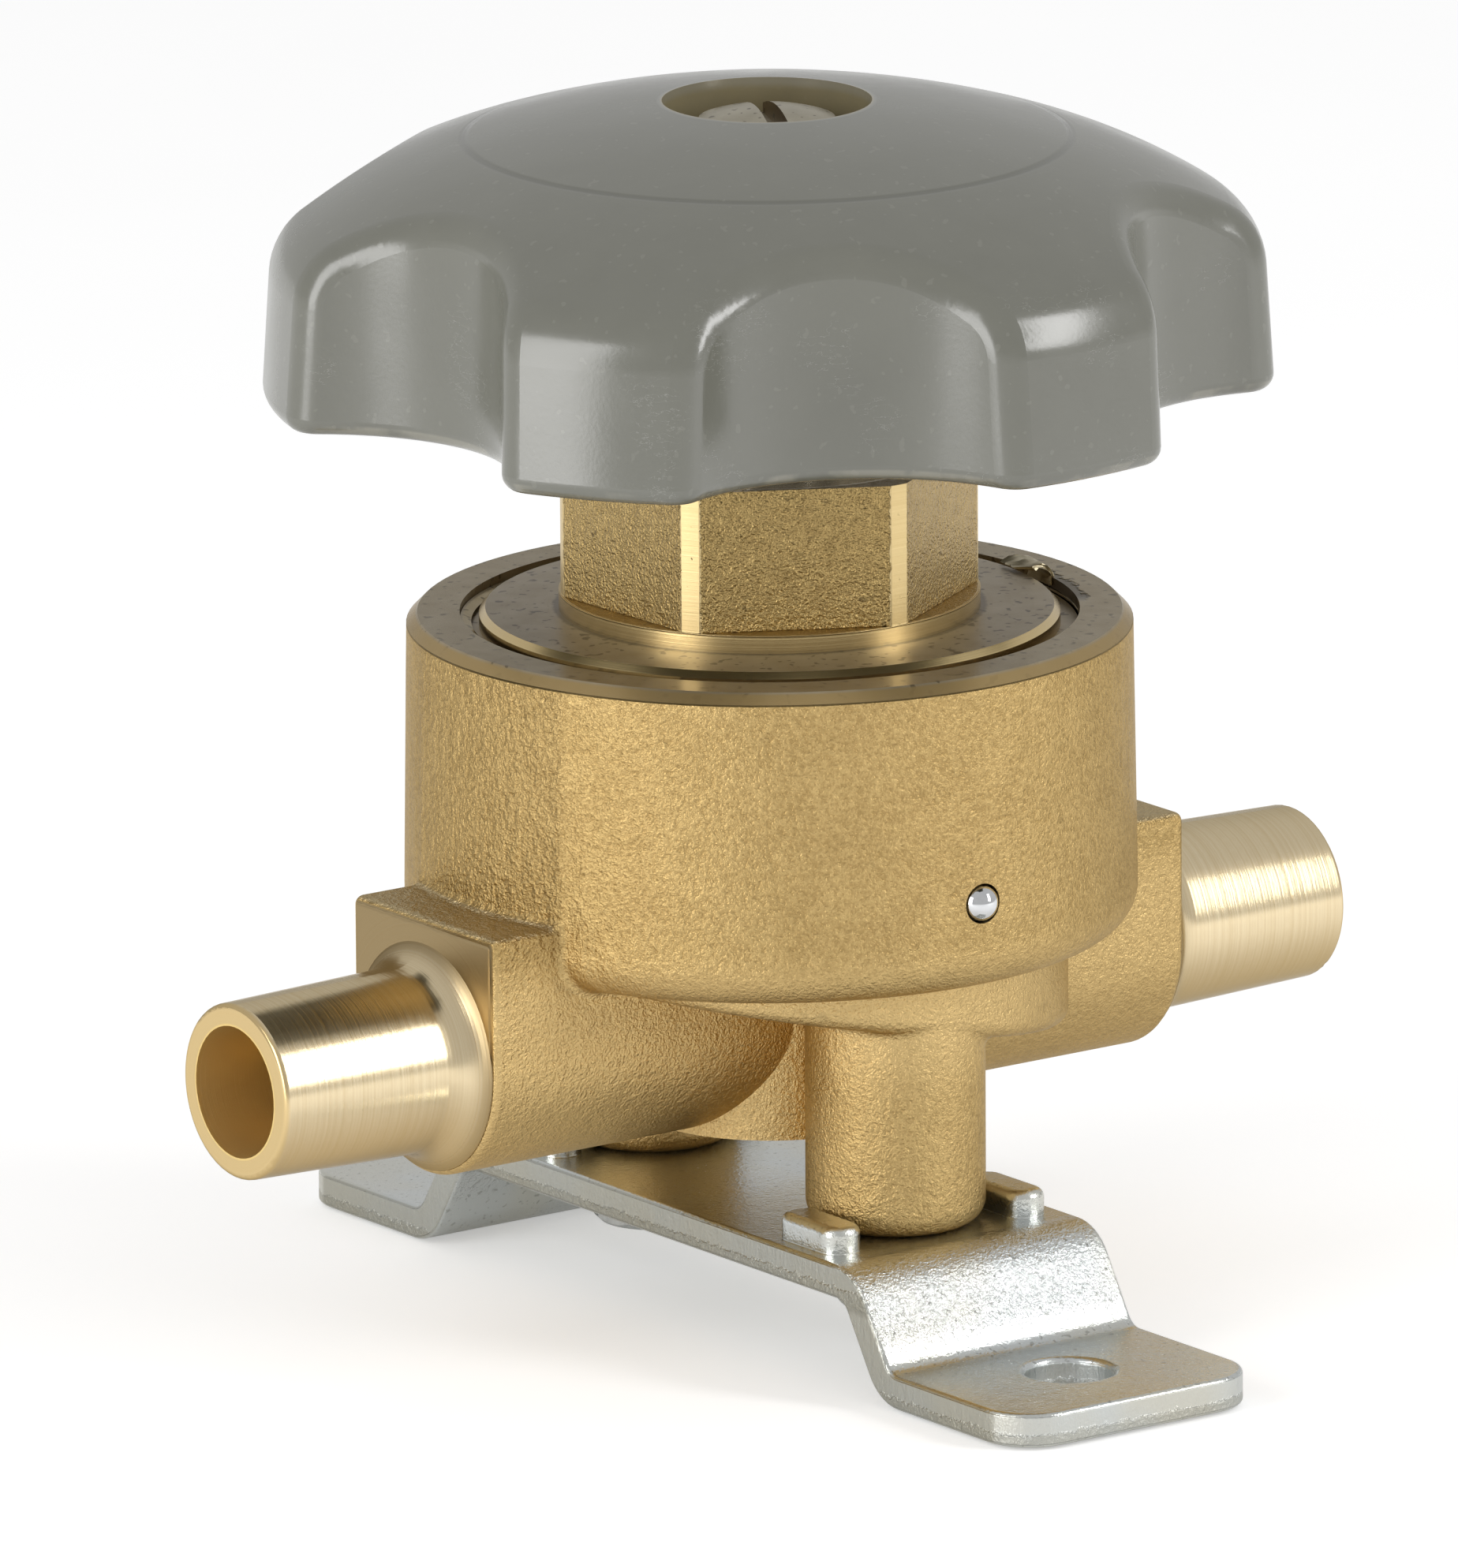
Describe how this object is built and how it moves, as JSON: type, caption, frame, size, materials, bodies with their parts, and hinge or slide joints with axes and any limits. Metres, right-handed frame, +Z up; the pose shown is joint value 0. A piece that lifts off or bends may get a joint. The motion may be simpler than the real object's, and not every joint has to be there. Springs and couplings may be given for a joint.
{
  "type": "isolating valve",
  "caption": "Hand-operated diaphragm shut-off valve: brass body with solder stubs and hexagon bonnet, domed lobed plastic handwheel, on a folded steel mounting bracket.",
  "frame": {"origin": "on the spindle axis, in the plane under the bracket's feet", "axes": "+X along the flow from the inlet stub to the outlet stub, +Y along the bracket, +Z up along the spindle"},
  "size_m": [0.095, 0.0884, 0.0891],
  "materials": {
    "body_brass": "rough forged with machined stubs",
    "bonnet_brass": "forged hexagon, turned collar and flange, tarnished",
    "inner_brass": "machined",
    "zinc_plate": "zinc-plated sheet",
    "zinc_screws": "zinc-plated",
    "ball_steel": "polished",
    "stainless": "bright spring sheet and wire",
    "seal_rubber": "matt",
    "seat_nylon": "turned nylon",
    "wheel_plastic": "moulded, half gloss",
    "wheel_fastener": "tarnished"
  },
  "bodies": {
    "housing": {"valve_body": "body_brass", "side_ball": "ball_steel", "mounting_bracket": "zinc_plate", "bracket_screws": "zinc_screws", "bonnet": "bonnet_brass", "slip_ring": "inner_brass", "diaphragm_lower": "stainless", "diaphragm_middle": "stainless", "diaphragm_upper": "stainless", "spindle_seal": "seal_rubber", "return_spring": "stainless"},
    "lifting_pieces": {"thrust_pad": "inner_brass", "thrust_ball": "ball_steel", "valve_plate": "inner_brass", "seat_disc": "seat_nylon"},
    "turning_pieces": {"spindle": "inner_brass", "handwheel": "wheel_plastic", "handwheel_screw": "wheel_fastener", "wheel_washer": "wheel_fastener"}
  },
  "joints": [
    {"name": "lift", "type": "slide", "parent": "housing", "child": "lifting_pieces", "axis": [0, 0, 1], "range_m": [0, 0.003], "deforming": ["return_spring", "diaphragm_lower", "diaphragm_middle", "diaphragm_upper"]},
    {"name": "handwheel_turn", "type": "hinge", "parent": "lifting_pieces", "child": "turning_pieces", "pos_m": [0, 0, 0.0785], "axis": [0, 0, 1], "range_deg": [0, 720]}
  ],
  "couplings": [
    {"joint": "lift", "follows": "handwheel_turn", "m_per_rad": 0.00023873}
  ]
}
